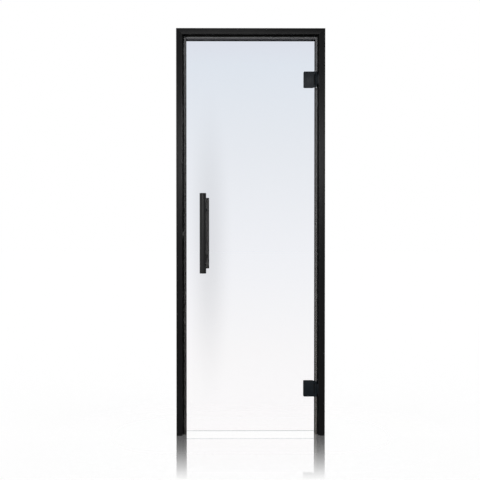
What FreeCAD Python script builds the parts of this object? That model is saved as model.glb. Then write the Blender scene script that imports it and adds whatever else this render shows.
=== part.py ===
"""Framed glass sauna door: a three-sided aluminium frame and one frameless glass leaf.

Millimetres, +Z up. X = 0 is the outer face of the hinge jamb, the frame runs from there
towards -X, the front looks towards -Y and Z = 0 is the floor. The leaf opens towards -Y.
"""
import FreeCAD, Part
import os
import Sketcher

# Driving sizes of the door, in millimetres
SIZES = {
    "frame_width": 690.0,
    "frame_height": 1890.0,
    "frame_depth": 80.0,
    "lip_width": 29.0,
    "lip_round": 3.0,
    "stop_step": 14.0,
    "wall": 2.5,
    "leaf_gap": 6.0,
    "head_gap": 8.0,
    "floor_gap": 18.0,
    "glass_recess": 16.0,
    "glass_thick": 8.0,
    "glass_arris": 1.0,
    "groove_from_edge": 4.5,
    "groove_mouth": 2.5,
    "groove_wide": 4.5,
    "groove_lip": 1.5,
    "groove_deep": 3.6,
    "seal_height": 5.1,
    "seal_wide": 8.0,
    "seal_wall": 1.2,
    "seal_round": 2.0,
    "seal_slack": 0.1,
    "seat_gap": 0.9,
    "hinge_from_leaf_foot": 199.0,
    "hinge_from_leaf_top": 197.5,
    "hinge_tall": 74.0,
    "ear_tall": 14.0,
    "knuckle_radius": 5.0,
    "pin_radius": 3.0,
    "pin_slack": 0.05,
    "pin_head": 1.5,
    "leaf_plate_tall": 83.0,
    "leaf_plate_wide": 24.0,
    "leaf_plate_thick": 2.0,
    "leaf_plate_margin": 4.0,
    "leaf_plate_sunk": 1.0,
    "let_in_slack": 0.2,
    "axis_recess": 6.0,
    "knuckle_gap": 6.0,
    "knuckle_side_gap": 0.3,
    "clamp_wide": 48.0,
    "clamp_from_edge": 16.0,
    "clamp_thick": 5.0,
    "clamp_round": 4.0,
    "clamp_bevel": 0.8,
    "neck_thick": 7.0,
    "pad_thick": 1.0,
    "pad_inset": 1.0,
    "pad_reach": 5.5,
    "clamp_boss_radius": 5.0,
    "clamp_boss_spacing": 40.0,
    "glass_hole_slack": 1.0,
    "handle_height": 942.0,
    "handle_post_spacing": 218.0,
    "handle_post_inset": 93.0,
    "post_radius": 8.0,
    "post_slack": 0.05,
    "grip_gap": 36.0,
    "post_entry": 6.0,
    "bolt_radius": 4.0,
    "bolt_slack": 0.05,
    "bolt_grip": 14.0,
    "bolt_end_room": 1.0,
    "flange_radius": 11.0,
    "flange_thick": 1.0,
    "outer_bar_tall": 369.0,
    "outer_bar_radius": 15.0,
    "outer_bar_shift": 3.0,
    "inner_bar_tall": 333.0,
    "inner_bar_wide": 40.0,
    "inner_bar_thick": 24.0,
    "inner_bar_round": 9.0,
    "inner_bar_shift": -2.0,
    "bar_bevel": 1.0,
    "catch_height": 940.0,
    "catch_recess": 15.0,
    "roller_radius": 5.5,
    "roller_long": 15.0,
    "roller_clear": 0.6,
    "axle_radius": 1.5,
    "fork_cheek": 2.0,
    "fork_slack": 0.3,
    "plunger_cover": 0.1,
    "plunger_back": 9.4,
    "plunger_travel": 4.0,
    "case_wall": 2.5,
    "case_end": 2.0,
    "face_wide": 20.0,
    "face_tall": 48.0,
    "face_thick": 1.5,
    "face_sunk": 1.0,
    "fixing_radius": 3.25,
    "fixing_access_radius": 6.0,
    "fixing_from_back": 25.0,
    "fixing_from_end": 100.0,
    "fixing_inner_spacing": 650.0,
}

# Room for rounding when edges are picked by place, and the least volume that counts as a cut
SAME_PLACE = 1e-3
SAME_DIRECTION = 1e-6
LEAST_CUT = 0.01


class Length:
    """A length and the sheet expression that gives it."""

    def __init__(self, value, text):
        self.value = float(value)
        self.text = text

    def __add__(self, other):
        other = length(other)
        return Length(self.value + other.value, f"({self.text} + {other.text})")

    def __radd__(self, other):
        return length(other) + self

    def __sub__(self, other):
        other = length(other)
        return Length(self.value - other.value, f"({self.text} - {other.text})")

    def __rsub__(self, other):
        return length(other) - self

    def __mul__(self, factor):
        return Length(self.value * factor, f"({self.text} * {factor})")

    def __rmul__(self, factor):
        return self * factor

    def __truediv__(self, divisor):
        return Length(self.value / divisor, f"({self.text} / {divisor})")

    def __neg__(self):
        return self * -1


def length(number):
    """The same length, or a plain number made into one."""
    return number if isinstance(number, Length) else Length(number, str(float(number)))


doc = FreeCAD.newDocument("sauna_door")
sheet = doc.addObject("Spreadsheet::Sheet", "Sizes")
for row, (alias, size) in enumerate(SIZES.items(), 1):
    sheet.set(f"A{row}", alias)
    sheet.set(f"B{row}", str(size))
    sheet.setAlias(f"B{row}", alias)
doc.recompute()


def size_of(alias):
    """A driving size, bound to its cell of the sheet."""
    return Length(SIZES[alias], f"Sizes.{alias}")


frame_width = size_of("frame_width")
frame_height = size_of("frame_height")
frame_depth = size_of("frame_depth")
lip_width = size_of("lip_width")
wall = size_of("wall")
glass_thick = size_of("glass_thick")
seat_gap = size_of("seat_gap")
pad_thick = size_of("pad_thick")
clamp_thick = size_of("clamp_thick")
bar_gap = size_of("flange_thick") + size_of("grip_gap")
post_length = bar_gap + size_of("post_entry")

# Places worked out from the driving sizes; depths are counted back from the frame's front
frame_front = frame_depth / -2
stop_width = lip_width + size_of("stop_step")
leaf_edge = lip_width + size_of("leaf_gap")
glass_front = size_of("glass_recess")
glass_back = glass_front + glass_thick
stop_depth = glass_back + seat_gap + size_of("seal_height")
leaf_width = frame_width - 2 * leaf_edge
leaf_foot = size_of("floor_gap")
leaf_top = frame_height - lip_width - size_of("head_gap")
leaf_height = leaf_top - leaf_foot
groove_middle = stop_width - size_of("groove_from_edge")

# Hinges: each pin stands in front of the glass edge
hinge_heights = {
    "lower": leaf_foot + size_of("hinge_from_leaf_foot"),
    "upper": leaf_top - size_of("hinge_from_leaf_top"),
}
plate_front = lip_width - size_of("leaf_plate_sunk") + size_of("leaf_plate_thick")
plate_back = lip_width - size_of("leaf_plate_sunk")
axis_inset = plate_front + size_of("knuckle_gap") + size_of("knuckle_radius")
axis_depth = size_of("axis_recess")
axis_y = frame_front + axis_depth
hinge_tall = size_of("hinge_tall")
ear_tall = size_of("ear_tall")
knuckle_tall = hinge_tall - 2 * ear_tall
plate_y = size_of("leaf_plate_margin") - axis_depth
clamp_start = leaf_edge + size_of("clamp_from_edge") - axis_inset
clamp_end = clamp_start + size_of("clamp_wide")
pane_y = glass_front - axis_depth
clamp_back_y = pane_y - pad_thick
clamp_front_y = clamp_back_y - clamp_thick
neck_front_y = clamp_back_y - size_of("neck_thick")
boss_x = (clamp_start + clamp_end) / -2
boss_z = size_of("clamp_boss_spacing") / 2

# Handle: two bars on two posts each, bolted through the glass
post_x = leaf_edge + size_of("handle_post_inset") - frame_width
post_z = size_of("handle_post_spacing") / 2
outer_post_y = frame_front + glass_front
inner_post_y = frame_front + glass_back

# Catch: a sprung roller let into the strike jamb
roller_radius = size_of("roller_radius")
roller_inset = leaf_edge - size_of("roller_clear") - roller_radius
catch_x = roller_inset - frame_width
catch_y = frame_front + size_of("catch_recess")
cheek_z = size_of("roller_long") / 2 + size_of("fork_slack")
plunger_z = cheek_z + size_of("fork_cheek")
plunger_y = roller_radius + size_of("plunger_cover")
cavity_y = plunger_y + size_of("fork_slack")
cavity_z = plunger_z + size_of("fork_slack")
case_y = cavity_y + size_of("case_wall")
case_z = cavity_z + size_of("case_wall")
cavity_end = size_of("plunger_back") + size_of("plunger_travel") + size_of("fork_slack")
face_back = lip_width - size_of("face_sunk") - roller_inset
face_front = face_back + size_of("face_thick")

pieces = []


def bind(target, name, size):
    """Tie one property of an object to the sheet."""
    target.setExpression(name, size.text)


def new_body(name, x=0, y=0, z=0):
    """An empty piece, placed by sizes of the sheet."""
    body = doc.addObject("PartDesign::Body", name)
    body.Label = name
    for axis, size in zip("xyz", (x, y, z)):
        bind(body, f"Placement.Base.{axis}", length(size))
    pieces.append(body)
    return body


def new_sketch(body, name, role="XY_Plane", offset=0):
    """A sketch on one of the piece's own planes, moved along the plane's normal."""
    plane = next(part for part in body.Origin.OriginFeatures if part.Role == role)
    sketch = body.newObject("Sketcher::SketchObject", f"{body.Name}_{name}")
    sketch.AttachmentSupport = [(plane, "")]
    sketch.MapMode = "FlatFace"
    bind(sketch, "AttachmentOffset.Base.z", length(offset))
    return sketch


def fix_point(sketch, geometry, point, x, y):
    """Hold one point of a sketch at sizes of the sheet."""
    for kind, size in (("DistanceX", x), ("DistanceY", y)):
        constraint = Sketcher.Constraint(kind, -1, 1, geometry, point, size.value)
        index = sketch.addConstraint(constraint)
        bind(sketch, f"Constraints[{index}]", size)


def outline(sketch, corners):
    """A closed run of straight lines through the corners."""
    corners = [(length(x), length(y)) for x, y in corners]
    first = sketch.GeometryCount
    for corner, following in zip(corners, corners[1:] + corners[:1]):
        start = FreeCAD.Vector(corner[0].value, corner[1].value, 0)
        end = FreeCAD.Vector(following[0].value, following[1].value, 0)
        sketch.addGeometry(Part.LineSegment(start, end), False)
    count = len(corners)
    for index in range(count):
        after = first + (index + 1) % count
        sketch.addConstraint(Sketcher.Constraint("Coincident", first + index, 2, after, 1))
    for index, (x, y) in enumerate(corners):
        fix_point(sketch, first + index, 1, x, y)


def rectangle(sketch, x_low, x_high, y_low, y_high):
    """A closed rectangle."""
    outline(sketch, [(x_low, y_low), (x_high, y_low), (x_high, y_high), (x_low, y_high)])


def circle(sketch, x, y, radius):
    """A full circle."""
    x, y, radius = length(x), length(y), length(radius)
    centre = FreeCAD.Vector(x.value, y.value, 0)
    shape = Part.Circle(centre, FreeCAD.Vector(0, 0, 1), radius.value)
    index = sketch.addGeometry(shape, False)
    fix_point(sketch, index, 3, x, y)
    held = sketch.addConstraint(Sketcher.Constraint("Radius", index, radius.value))
    bind(sketch, f"Constraints[{held}]", radius)


def pad(body, sketch, size, both_ways=False, reverse=False):
    """Material from a sketch."""
    feature = body.newObject("PartDesign::Pad", f"{sketch.Name}_pad")
    feature.Profile = sketch
    bind(feature, "Length", length(size))
    feature.Midplane = both_ways
    feature.Reversed = reverse
    sketch.Visibility = False
    doc.recompute()
    return feature


def pocket(body, sketch, size=None, reverse=False):
    """A cut from a sketch: through everything both ways, or to a depth one way."""
    before = body.Tip.Shape.Volume
    feature = body.newObject("PartDesign::Pocket", f"{sketch.Name}_pocket")
    feature.Profile = sketch
    if size is None:
        feature.Type = 1
        feature.Midplane = True
    else:
        bind(feature, "Length", length(size))
        feature.Reversed = reverse
    sketch.Visibility = False
    doc.recompute()
    if feature.Shape.Volume >= before - LEAST_CUT:
        raise RuntimeError(f"{feature.Name} cuts nothing")
    return feature


def edge_names(feature, wanted):
    """Names of the edges that a test picks."""
    return [f"Edge{i}" for i, edge in enumerate(feature.Shape.Edges, 1) if wanted(edge)]


def dress(body, kind, property_name, size, wanted):
    """A fillet or chamfer on the edges that a test picks."""
    base = body.Tip
    names = edge_names(base, wanted)
    if not names:
        raise RuntimeError(f"{body.Name} has no edge for its {kind}")
    feature = body.newObject(f"PartDesign::{kind}", f"{body.Name}_{kind.lower()}")
    feature.Base = (base, names)
    bind(feature, property_name, length(size))
    doc.recompute()
    return feature


def fillet(body, radius, wanted):
    """Rounded edges."""
    return dress(body, "Fillet", "Radius", radius, wanted)


def chamfer(body, size, wanted):
    """Bevelled edges."""
    return dress(body, "Chamfer", "Size", size, wanted)


def is_along(edge, axis):
    """Is this a straight edge along X, Y or Z?"""
    if edge.Curve.TypeId != "Part::GeomLine":
        return False
    direction = edge.Curve.Direction
    return abs(abs(getattr(direction, axis)) - 1) < SAME_DIRECTION


def near(number, size):
    """Is a coordinate at this size?"""
    return abs(number - length(size).value) < SAME_PLACE


def all_at(edge, axis, size):
    """Does the whole edge lie at this coordinate?"""
    box = edge.BoundBox
    low = getattr(box, f"{axis.upper()}Min")
    high = getattr(box, f"{axis.upper()}Max")
    return near(low, size) and near(high, size)


# Frame: one extruded section for the jambs and the head, mitred at the top corners


def frame_section(sketch, place):
    """The hollow section: a lip, a stop with the seal's groove, and two chambers."""
    mouth = size_of("groove_mouth") / 2
    channel = size_of("groove_wide") / 2
    groove_neck = stop_depth + size_of("groove_lip")
    groove_end = stop_depth + size_of("groove_deep")
    outer = [
        (0, 0),
        (lip_width, 0),
        (lip_width, stop_depth),
        (groove_middle - mouth, stop_depth),
        (groove_middle - mouth, groove_neck),
        (groove_middle - channel, groove_neck),
        (groove_middle - channel, groove_end),
        (groove_middle + channel, groove_end),
        (groove_middle + channel, groove_neck),
        (groove_middle + mouth, groove_neck),
        (groove_middle + mouth, stop_depth),
        (stop_width, stop_depth),
        (stop_width, frame_depth),
        (0, frame_depth),
    ]
    lip_chamber = [
        (wall, wall),
        (lip_width - wall, wall),
        (lip_width - wall, stop_depth),
        (wall, stop_depth),
    ]
    groove_wall = groove_middle - channel - wall
    stop_chamber = [
        (wall, stop_depth + wall),
        (groove_wall, stop_depth + wall),
        (groove_wall, groove_end + wall),
        (stop_width - wall, groove_end + wall),
        (stop_width - wall, frame_depth - wall),
        (wall, frame_depth - wall),
    ]
    for loop in (outer, lip_chamber, stop_chamber):
        outline(sketch, [place(inset, depth) for inset, depth in loop])


def mitre_jamb(body, side):
    """Cut a jamb's top at 45 degrees, rising towards its outer face."""
    cut = new_sketch(body, "mitre", "XZ_Plane")
    reach = stop_width + wall
    corners = [(0, frame_height), (side * reach, frame_height), (side * reach, frame_height - reach)]
    outline(cut, corners)
    pocket(body, cut)


def mitre_head(body):
    """Cut both ends of a top piece at 45 degrees, to meet the jambs."""
    cut = new_sketch(body, "mitres", "XZ_Plane")
    reach = stop_width + wall
    outline(cut, [(0, 0), (reach, -reach), (0, -reach)])
    outline(cut, [(frame_width, 0), (frame_width - reach, -reach), (frame_width, -reach)])
    pocket(body, cut)


def fixing_holes(body, side):
    """Holes for the frame's screws, with room for a driver through the stop."""
    y = frame_depth - size_of("fixing_from_back")
    middle = frame_height / 2
    reaches = (middle - size_of("fixing_from_end"), size_of("fixing_inner_spacing") / 2)
    heights = [middle + sign * reach for reach in reaches for sign in (-1, 1)]
    clear = new_sketch(body, "screws", "YZ_Plane")
    for z in heights:
        circle(clear, y, z, size_of("fixing_radius"))
    pocket(body, clear)
    access = new_sketch(body, "access", "YZ_Plane", side * (stop_width - 2 * wall))
    for z in heights:
        circle(access, y, z, size_of("fixing_access_radius"))
    pocket(body, access, 3 * wall, reverse=side > 0)


def round_lip(body, axis, across, place):
    """Round the lip's front edge beside the leaf."""
    fillet(
        body,
        size_of("lip_round"),
        lambda edge: is_along(edge, axis) and all_at(edge, across, place) and all_at(edge, "y", 0),
    )


def build_jamb(name, side, x):
    """One upright of the frame; side is 1 where it runs towards +X from its outer face."""
    body = new_body(name, x, frame_front, 0)
    section = new_sketch(body, "section")
    frame_section(section, lambda inset, depth: (side * inset, depth))
    pad(body, section, frame_height)
    mitre_jamb(body, side)
    round_lip(body, "z", "x", side * lip_width)
    fixing_holes(body, side)
    return body


def build_strike_jamb():
    """The upright on the handle's side, with the catch let into its lip."""
    body = build_jamb("strike_jamb", 1, -frame_width)
    slack = size_of("let_in_slack")
    y = size_of("catch_recess")
    z = size_of("catch_height")
    seat = new_sketch(body, "face_seat", "YZ_Plane", lip_width)
    face_y = size_of("face_wide") / 2 + slack
    face_z = size_of("face_tall") / 2 + slack
    rectangle(seat, y - face_y, y + face_y, z - face_z, z + face_z)
    pocket(body, seat, size_of("face_sunk"))
    mouth = new_sketch(body, "case_mouth", "YZ_Plane", lip_width)
    mouth_y = case_y + slack
    mouth_z = case_z + slack
    rectangle(mouth, y - mouth_y, y + mouth_y, z - mouth_z, z + mouth_z)
    pocket(body, mouth, 2 * wall)


def build_hinge_jamb():
    """The upright on the hinges' side, with a seat for each hinge's plate."""
    body = build_jamb("hinge_jamb", -1, 0)
    slack = size_of("let_in_slack")
    seat = new_sketch(body, "plate_seats", "YZ_Plane", -lip_width)
    low_y = size_of("leaf_plate_margin") - slack
    high_y = size_of("leaf_plate_margin") + size_of("leaf_plate_wide") + slack
    half = size_of("leaf_plate_tall") / 2 + slack
    for z in hinge_heights.values():
        rectangle(seat, low_y, high_y, z - half, z + half)
    pocket(body, seat, size_of("leaf_plate_sunk"), reverse=True)


def build_head():
    """The top rail, mitred at both ends."""
    body = new_body("head", -frame_width, frame_front, frame_height)
    section = new_sketch(body, "section", "YZ_Plane")
    frame_section(section, lambda inset, depth: (depth, -inset))
    pad(body, section, frame_width)
    mitre_head(body)
    round_lip(body, "x", "z", -lip_width)


# Seals: a hollow rubber strip whose foot sits in the frame's groove


def seal_section(sketch, place):
    """The strip's section: a foot under the groove's lips, a stem and a hollow bulb."""
    slack = size_of("seal_slack")
    half = size_of("seal_wide") / 2
    stem = size_of("groove_mouth") / 2 - slack
    foot = size_of("groove_wide") / 2 - slack
    crest = stop_depth - size_of("seal_height")
    foot_start = stop_depth + size_of("groove_lip")
    foot_end = stop_depth + size_of("groove_deep") - slack
    strip = [
        (-half, crest),
        (half, crest),
        (half, stop_depth),
        (stem, stop_depth),
        (stem, foot_start),
        (foot, foot_start),
        (foot, foot_end),
        (-foot, foot_end),
        (-foot, foot_start),
        (-stem, foot_start),
        (-stem, stop_depth),
        (-half, stop_depth),
    ]
    skin = size_of("seal_wall")
    hollow = [
        (skin - half, crest + skin),
        (half - skin, crest + skin),
        (half - skin, stop_depth - skin),
        (skin - half, stop_depth - skin),
    ]
    for loop in (strip, hollow):
        outline(sketch, [place(groove_middle + inset, depth) for inset, depth in loop])


def build_jamb_seal(name, side, x):
    """The strip of one jamb, from the floor to the mitre."""
    body = new_body(name, x, frame_front, 0)
    section = new_sketch(body, "section")
    seal_section(section, lambda inset, depth: (side * inset, depth))
    pad(body, section, frame_height)
    mitre_jamb(body, side)
    crest = stop_depth - size_of("seal_height")
    fillet(body, size_of("seal_round"), lambda edge: is_along(edge, "z") and all_at(edge, "y", crest))


def build_head_seal():
    """The strip of the head, mitred at both ends."""
    body = new_body("head_seal", -frame_width, frame_front, frame_height)
    section = new_sketch(body, "section", "YZ_Plane")
    seal_section(section, lambda inset, depth: (depth, -inset))
    pad(body, section, frame_width)
    mitre_head(body)
    crest = stop_depth - size_of("seal_height")
    fillet(body, size_of("seal_round"), lambda edge: is_along(edge, "x") and all_at(edge, "y", crest))


# Hinges: each piece is drawn about the pin, at the hinge's middle


def build_hinge_plate(name, z):
    """The frame's half of a hinge: a plate let into the jamb, with the middle knuckle."""
    body = new_body(name, -axis_inset, axis_y, z)
    front = axis_inset - plate_front
    back = axis_inset - plate_back
    plate = new_sketch(body, "plate")
    rectangle(plate, front, back, plate_y, plate_y + size_of("leaf_plate_wide"))
    pad(body, plate, size_of("leaf_plate_tall"), both_ways=True)
    tall = knuckle_tall - 2 * size_of("knuckle_side_gap")
    radius = size_of("knuckle_radius")
    web = new_sketch(body, "web")
    rectangle(web, 0, front + size_of("leaf_plate_thick") / 2, plate_y, radius)
    pad(body, web, tall, both_ways=True)
    barrel = new_sketch(body, "barrel")
    circle(barrel, 0, 0, radius)
    pad(body, barrel, tall, both_ways=True)
    bore = new_sketch(body, "bore")
    circle(bore, 0, 0, size_of("pin_radius") + size_of("pin_slack"))
    pocket(body, bore)


def build_hinge_pin(name, z):
    """The pin, a little longer than the knuckles at both ends."""
    body = new_body(name, -axis_inset, axis_y, z)
    shank = new_sketch(body, "shank")
    circle(shank, 0, 0, size_of("pin_radius"))
    pad(body, shank, hinge_tall + 2 * size_of("pin_head"), both_ways=True)


def round_clamp_corners(body, corner_xs):
    """Rounded corners on a clamp's plate."""
    fillet(
        body,
        size_of("clamp_round"),
        lambda edge: is_along(edge, "y")
        and any(all_at(edge, "x", x) for x in corner_xs)
        and near(abs(edge.CenterOfMass.z), hinge_tall / 2),
    )


def build_outer_clamp(name, z):
    """The leaf's half of a hinge: a plate on the glass, two bosses through it and two knuckled ears."""
    body = new_body(name, -axis_inset, axis_y, z)
    section = new_sketch(body, "section")
    step = size_of("neck_thick") - clamp_thick
    corners = [
        (-clamp_end, clamp_back_y),
        (-clamp_end, clamp_front_y),
        (-clamp_start - step, clamp_front_y),
        (-clamp_start, neck_front_y),
        (0, neck_front_y),
        (0, clamp_back_y),
    ]
    outline(section, corners)
    pad(body, section, hinge_tall, both_ways=True)
    knuckle = new_sketch(body, "knuckle")
    circle(knuckle, 0, 0, size_of("knuckle_radius"))
    pad(body, knuckle, hinge_tall, both_ways=True)
    slot = new_sketch(body, "slot", "XZ_Plane")
    rectangle(slot, -clamp_start, axis_inset - plate_front, knuckle_tall / -2, knuckle_tall / 2)
    pocket(body, slot)
    round_clamp_corners(body, [-clamp_end])
    bosses = new_sketch(body, "bosses", "XZ_Plane", -clamp_back_y)
    for sign in (-1, 1):
        circle(bosses, boss_x, sign * boss_z, size_of("clamp_boss_radius"))
    pad(body, bosses, glass_thick + 2 * pad_thick, reverse=True)
    bore = new_sketch(body, "bore")
    circle(bore, 0, 0, size_of("pin_radius") + size_of("pin_slack"))
    pocket(body, bore)
    neck_start = -clamp_start - step
    chamfer(
        body,
        size_of("clamp_bevel"),
        lambda edge: all_at(edge, "y", clamp_front_y) and not near(edge.CenterOfMass.x, neck_start),
    )


def build_inner_clamp(name, z):
    """The plate on the glass's back."""
    body = new_body(name, -axis_inset, axis_y, z)
    front_y = pane_y + glass_thick + pad_thick
    plate = new_sketch(body, "plate", "XZ_Plane", -front_y)
    rectangle(plate, -clamp_end, -clamp_start, hinge_tall / -2, hinge_tall / 2)
    pad(body, plate, clamp_thick, reverse=True)
    round_clamp_corners(body, [-clamp_end, -clamp_start])


def build_clamp_pad(name, z, low_y, right):
    """A thin rubber sheet between a clamp's plate and the glass, open round the bosses."""
    body = new_body(name, -axis_inset, axis_y, z)
    inset = size_of("pad_inset")
    sheet_sketch = new_sketch(body, "sheet", "XZ_Plane", -low_y)
    half = hinge_tall / 2 - inset
    rectangle(sheet_sketch, inset - clamp_end, right, -half, half)
    room = size_of("clamp_boss_radius") + size_of("glass_hole_slack")
    rectangle(sheet_sketch, boss_x - room, boss_x + room, -boss_z - room, boss_z + room)
    pad(body, sheet_sketch, pad_thick, reverse=True)


def build_hinges():
    """Both hinges, each with the frame's plate, the pin, the clamp and its pads."""
    inner_right = -clamp_start - size_of("pad_inset")
    outer_right = size_of("pad_reach") - clamp_start
    for place, z in hinge_heights.items():
        build_hinge_plate(f"{place}_hinge_plate", z)
        build_hinge_pin(f"{place}_hinge_pin", z)
        build_outer_clamp(f"{place}_outer_clamp", z)
        build_inner_clamp(f"{place}_inner_clamp", z)
        build_clamp_pad(f"{place}_outer_pad", z, clamp_back_y, outer_right)
        build_clamp_pad(f"{place}_inner_pad", z, pane_y + glass_thick, inner_right)


# Leaf: one toughened pane, drilled for the clamps and the handle


def build_glass_pane():
    """The pane, drawn from its lower corner on the strike side."""
    left = leaf_edge - frame_width
    back = frame_front + glass_back
    body = new_body("glass_pane", left, back, leaf_foot)
    sheet_sketch = new_sketch(body, "sheet", "XZ_Plane")
    rectangle(sheet_sketch, 0, leaf_width, 0, leaf_height)
    pad(body, sheet_sketch, glass_thick)
    holes = new_sketch(body, "holes", "XZ_Plane")
    slack = size_of("glass_hole_slack")
    for height in hinge_heights.values():
        z = height - leaf_foot
        x = boss_x - axis_inset - left
        for sign in (-1, 1):
            circle(holes, x, z + sign * boss_z, size_of("clamp_boss_radius") + slack)
    z = size_of("handle_height") - leaf_foot
    for sign in (-1, 1):
        circle(holes, post_x - left, z + sign * post_z, size_of("bolt_radius") + slack)
    pocket(body, holes)
    front = -glass_thick
    chamfer(
        body,
        size_of("glass_arris"),
        lambda edge: (all_at(edge, "y", 0) or all_at(edge, "y", front))
        and edge.Curve.TypeId == "Part::GeomLine",
    )


# Handle: a long bar outside and a shorter one inside


def bore_for_posts(body, shift, near_y, towards_back):
    """Blind holes in a bar's near side, where its posts enter."""
    bores = new_sketch(body, "bores", "XZ_Plane", -near_y)
    for sign in (-1, 1):
        circle(bores, shift, sign * post_z, size_of("post_radius") + size_of("post_slack"))
    pocket(body, bores, size_of("post_entry"), reverse=not towards_back)


def bevel_bar_ends(body, tall):
    """A small bevel round both ends of a bar."""
    chamfer(body, size_of("bar_bevel"), lambda edge: near(abs(edge.CenterOfMass.z), tall / 2))


def build_outer_bar():
    """The round bar outside, drawn about its own axis."""
    shift = size_of("outer_bar_shift")
    radius = size_of("outer_bar_radius")
    tall = size_of("outer_bar_tall")
    axis = outer_post_y - bar_gap - radius
    body = new_body("outer_handle_bar", post_x - shift, axis, size_of("handle_height"))
    section = new_sketch(body, "section")
    circle(section, 0, 0, radius)
    pad(body, section, tall, both_ways=True)
    bevel_bar_ends(body, tall)
    bore_for_posts(body, shift, radius, towards_back=False)


def build_inner_bar():
    """The wider, rounded bar inside, drawn about its own axis."""
    shift = size_of("inner_bar_shift")
    half_wide = size_of("inner_bar_wide") / 2
    half_thick = size_of("inner_bar_thick") / 2
    tall = size_of("inner_bar_tall")
    axis = inner_post_y + bar_gap + half_thick
    body = new_body("inner_handle_bar", post_x - shift, axis, size_of("handle_height"))
    section = new_sketch(body, "section")
    rectangle(section, -half_wide, half_wide, -half_thick, half_thick)
    pad(body, section, tall, both_ways=True)
    fillet(body, size_of("inner_bar_round"), lambda edge: is_along(edge, "z"))
    bevel_bar_ends(body, tall)
    bore_for_posts(body, shift, -half_thick, towards_back=True)


def flanged_post(name, y, z, towards_back):
    """A post from the glass to its bar, with a flat flange on the glass."""
    body = new_body(name, post_x, y, z)
    post = new_sketch(body, "post", "XZ_Plane")
    circle(post, 0, 0, size_of("post_radius"))
    pad(body, post, post_length, reverse=towards_back)
    flange = new_sketch(body, "flange", "XZ_Plane")
    circle(flange, 0, 0, size_of("flange_radius"))
    pad(body, flange, size_of("flange_thick"), reverse=towards_back)
    return body


def build_outer_post(name, z):
    """A post outside, with the bolt that passes through the glass."""
    body = flanged_post(name, outer_post_y, z, towards_back=False)
    bolt = new_sketch(body, "bolt", "XZ_Plane")
    circle(bolt, 0, 0, size_of("bolt_radius"))
    pad(body, bolt, glass_thick + size_of("bolt_grip"), reverse=True)


def build_inner_post(name, z):
    """A post inside, drilled for the bolt."""
    body = flanged_post(name, inner_post_y, z, towards_back=True)
    bore = new_sketch(body, "bore", "XZ_Plane")
    circle(bore, 0, 0, size_of("bolt_radius") + size_of("bolt_slack"))
    pocket(body, bore, size_of("bolt_grip") + size_of("bolt_end_room"))


def build_handle():
    """Both bars and their posts."""
    build_outer_bar()
    build_inner_bar()
    for place, sign in (("lower", -1), ("upper", 1)):
        z = size_of("handle_height") + sign * post_z
        build_outer_post(f"{place}_outer_post", z)
        build_inner_post(f"{place}_inner_post", z)


# Catch: drawn about the roller's middle, +X out of the jamb


def catch_body(name):
    """An empty piece at the roller's middle."""
    return new_body(name, catch_x, catch_y, size_of("catch_height"))


def build_catch_case():
    """The case behind a face plate, open in front for the plunger."""
    body = catch_body("catch_case")
    face = new_sketch(body, "face", "YZ_Plane", face_back)
    half_y = size_of("face_wide") / 2
    half_z = size_of("face_tall") / 2
    rectangle(face, -half_y, half_y, -half_z, half_z)
    pad(body, face, size_of("face_thick"))
    case_length = face_back + cavity_end + size_of("case_end")
    box = new_sketch(body, "box", "YZ_Plane", face_back)
    rectangle(box, -case_y, case_y, -case_z, case_z)
    pad(body, box, case_length, reverse=True)
    cavity = new_sketch(body, "cavity", "YZ_Plane", face_front)
    rectangle(cavity, -cavity_y, cavity_y, -cavity_z, cavity_z)
    pocket(body, cavity, face_front + cavity_end)


def build_catch_plunger():
    """The sliding block, forked in front for the roller and bored for its axle."""
    body = catch_body("catch_plunger")
    block = new_sketch(body, "block", "YZ_Plane", -size_of("plunger_back"))
    rectangle(block, -plunger_y, plunger_y, -plunger_z, plunger_z)
    cheek_reach = size_of("axle_radius") * 2
    pad(body, block, size_of("plunger_back") + cheek_reach)
    fork = new_sketch(body, "fork", "XZ_Plane")
    fork_end = -roller_radius - size_of("fork_slack")
    rectangle(fork, fork_end, cheek_reach + wall, -cheek_z, cheek_z)
    pocket(body, fork)
    bore = new_sketch(body, "bore")
    circle(bore, 0, 0, size_of("axle_radius") + size_of("pin_slack"))
    pocket(body, bore)


def build_catch_roller():
    """The roller, free on its axle."""
    body = catch_body("catch_roller")
    wheel = new_sketch(body, "wheel")
    circle(wheel, 0, 0, roller_radius)
    circle(wheel, 0, 0, size_of("axle_radius") + size_of("pin_slack"))
    pad(body, wheel, size_of("roller_long"), both_ways=True)


def build_catch_axle():
    """The roller's axle, held in the fork's cheeks."""
    body = catch_body("catch_axle")
    rod = new_sketch(body, "rod")
    circle(rod, 0, 0, size_of("axle_radius"))
    pad(body, rod, 2 * plunger_z, both_ways=True)


build_strike_jamb()
build_hinge_jamb()
build_head()
build_jamb_seal("strike_seal", 1, -frame_width)
build_jamb_seal("hinge_seal", -1, 0)
build_head_seal()
build_glass_pane()
build_hinges()
build_handle()
build_catch_case()
build_catch_plunger()
build_catch_roller()
build_catch_axle()
doc.recompute()

for item in doc.Objects:
    if "Invalid" in item.State or "Error" in item.State:
        raise RuntimeError(f"{item.Name} failed to build")

os.makedirs("parts", exist_ok=True)
for body in pieces:
    shape = body.Shape
    if shape.isNull() or not shape.isValid():
        raise RuntimeError(f"{body.Label} has no valid shape")
    if len(shape.Solids) != 1:
        raise RuntimeError(f"{body.Label} has {len(shape.Solids)} solids")
    shape.exportStep(f"parts/{body.Label}.step")
    box = shape.BoundBox
    print(f"{body.Label}: {box.XLength:.1f} x {box.YLength:.1f} x {box.ZLength:.1f}")
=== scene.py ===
"""Looks of a framed glass sauna door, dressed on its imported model.

The black powder-coated frame stays put, the clear leaf hangs on two clamp hinges, and a sprung
roller in the strike jamb holds it shut. Metres, +Z up, the outside of the sauna towards -Y.
"""
import logging
import math
from dataclasses import dataclass, field
from enum import Enum

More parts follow.
